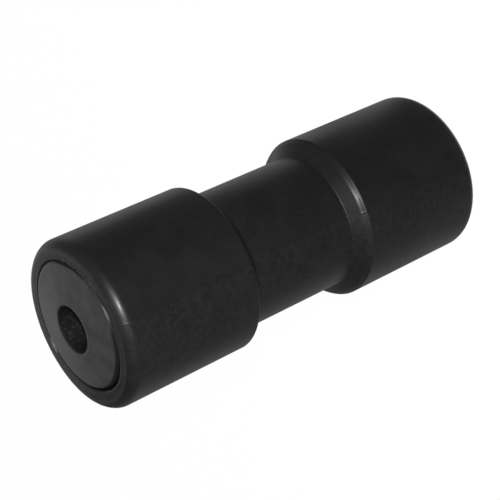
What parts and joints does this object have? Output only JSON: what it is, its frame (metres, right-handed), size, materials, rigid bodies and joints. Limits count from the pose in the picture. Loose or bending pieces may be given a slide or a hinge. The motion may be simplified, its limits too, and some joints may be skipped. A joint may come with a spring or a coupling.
{
  "type": "boat trailer roller",
  "caption": "Black rubber keel roller with straight barrels and a narrower waist, moulded over a hard core with a spindle bore.",
  "frame": {"origin": "centre of the bottom end, on the surface that the roller stands on", "axes": "+Z along the roller's axis and its spindle bore, towards the top end; both ends are alike"},
  "size_m": [0.075, 0.075, 0.2],
  "materials": {
    "soft_rubber": "black moulded rubber, satin, faintly mottled",
    "hard_core": "dark grey hard plastic, matt"
  },
  "bodies": {
    "root": {"rubber_cover": "soft_rubber", "hard_core": "hard_core"}
  },
  "joints": []
}
